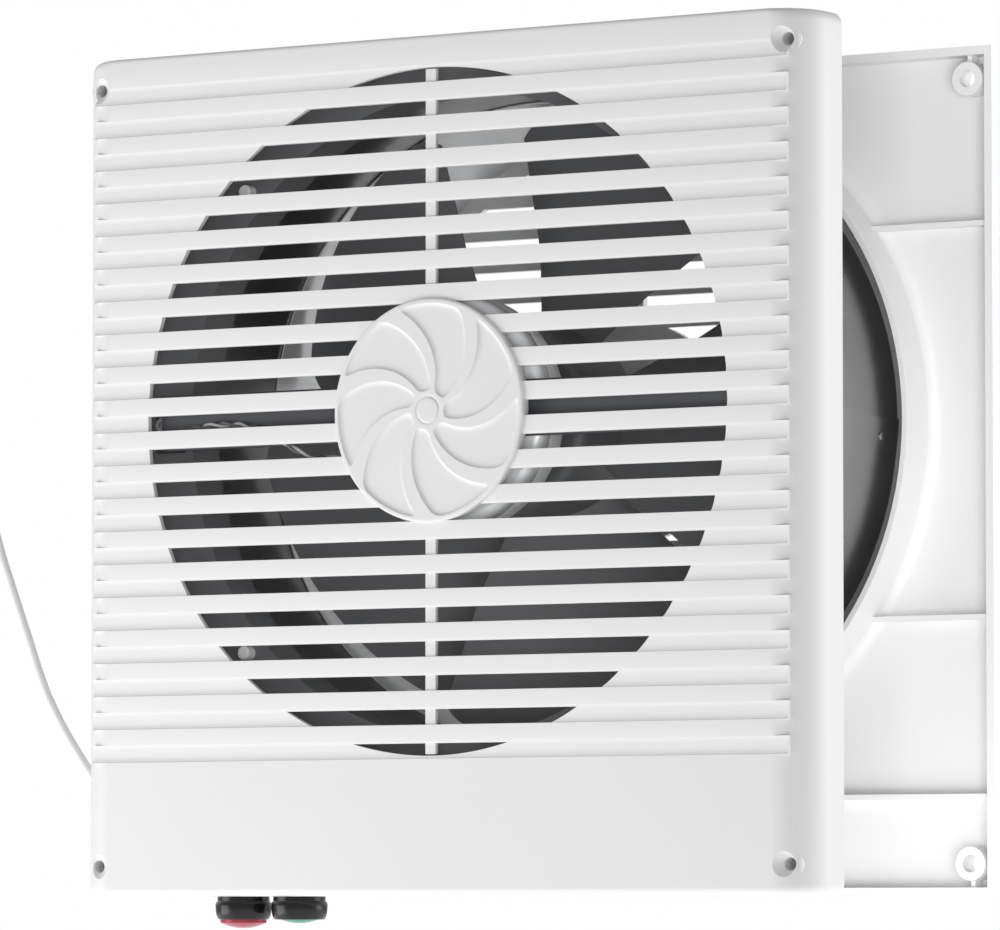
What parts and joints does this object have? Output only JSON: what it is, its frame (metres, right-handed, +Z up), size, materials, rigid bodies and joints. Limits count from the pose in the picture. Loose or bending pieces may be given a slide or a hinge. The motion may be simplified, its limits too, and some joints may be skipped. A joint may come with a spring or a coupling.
{
  "type": "room-to-room fan",
  "caption": "Through-wall fan: a louvred front unit with motor, impeller and two push buttons, and a rear unit on a sliding sleeve.",
  "frame": {"origin": "the middle of the front unit's four wall screws, in the plane of its wall-side rim", "axes": "+Y into the wall and along the duct, +Z up, +X to the right seen from the front; the face looks towards -Y"},
  "size_m": [0.4076, 0.1374, 0.3008],
  "materials": {
    "white_plastic": "fine satin moulded white",
    "grey_frame": "moulded dark grey",
    "screw_steel": "zinc plated",
    "bracket_steel": "dark painted steel strip",
    "motor_shell": "light grey drawn steel",
    "stator": "varnished laminations and windings",
    "bearing_steel": "ground steel",
    "lead_sleeving": "twisted insulated leads",
    "shaft_steel": "ground steel",
    "impeller_plastic": "moulded dark grey, satin",
    "sleeve_metal": "dark grey satin sheet",
    "bezel_black": "glossy black",
    "switch_plastic": "black moulded",
    "red_cap": "glossy red",
    "spring_steel": "spring wire",
    "green_cap": "glossy sea green",
    "terminal_ivory": "moulded ivory",
    "capacitor_dark": "dark film case",
    "cord_white": "smooth white jacket",
    "tie_black": "black strap",
    "plug_white": "moulded white",
    "pin_brass": "plain brass",
    "rear_sleeve_metal": "plain rolled sheet"
  },
  "bodies": {
    "front_unit": {"front_cover": "white_plastic", "fan_frame": "grey_frame", "frame_screw_1": "screw_steel", "frame_screw_2": "screw_steel", "frame_screw_3": "screw_steel", "frame_screw_4": "screw_steel", "motor_bracket": "bracket_steel", "bracket_screw_left": "screw_steel", "bracket_screw_right": "screw_steel", "motor_front_shell": "motor_shell", "motor_rear_shell": "motor_shell", "motor_stator": "stator", "front_bearing": "bearing_steel", "rear_bearing": "bearing_steel", "motor_screw_left": "screw_steel", "motor_screw_right": "screw_steel", "motor_leads": "lead_sleeving", "front_sleeve": "sleeve_metal", "seam_rivet_1": "screw_steel", "seam_rivet_2": "screw_steel", "seam_rivet_3": "screw_steel", "red_bezel": "bezel_black", "red_switch": "switch_plastic", "red_nut": "screw_steel", "red_spring": "spring_steel", "green_bezel": "bezel_black", "green_switch": "switch_plastic", "green_nut": "screw_steel", "green_spring": "spring_steel", "wiring_plate": "grey_frame", "wiring_screw_left": "screw_steel", "wiring_screw_right": "screw_steel", "terminal_block": "terminal_ivory", "capacitor": "capacitor_dark", "strain_relief": "cord_white", "power_cord": "cord_white", "cord_coil": "cord_white", "coil_tie": "tie_black", "cord_tail": "cord_white", "plug_body": "plug_white", "plug_pin_left": "pin_brass", "plug_pin_right": "pin_brass", "cord_hook": "screw_steel"},
    "fan_rotor": {"motor_shaft": "shaft_steel", "motor_rotor": "stator", "impeller": "impeller_plastic", "hub_nut": "screw_steel"},
    "red_button": {"red_button": "red_cap"},
    "green_button": {"green_button": "green_cap"},
    "rear_unit": {"rear_sleeve": "rear_sleeve_metal", "rear_plate": "white_plastic", "sleeve_screw_1": "screw_steel", "sleeve_screw_2": "screw_steel", "sleeve_screw_3": "screw_steel"}
  },
  "joints": [
    {"name": "impeller_spin", "type": "hinge", "parent": "front_unit", "child": "fan_rotor", "pos_m": [0, 0.02, 0.018], "axis": [0, 1, 0], "continuous": true},
    {"name": "wall_slide", "type": "slide", "parent": "front_unit", "child": "rear_unit", "axis": [0, 1, 0], "range_m": [-0.008, 0.045]},
    {"name": "red_press", "type": "slide", "parent": "front_unit", "child": "red_button", "axis": [0, 0, 1], "range_m": [0, 0.0025], "stiffness_N_per_m": 300, "springref_m": -0.002, "deforming": ["red_spring"]},
    {"name": "green_press", "type": "slide", "parent": "front_unit", "child": "green_button", "axis": [0, 0, 1], "range_m": [-0.0017, 0.0008], "stiffness_N_per_m": 300, "deforming": ["green_spring"]}
  ]
}
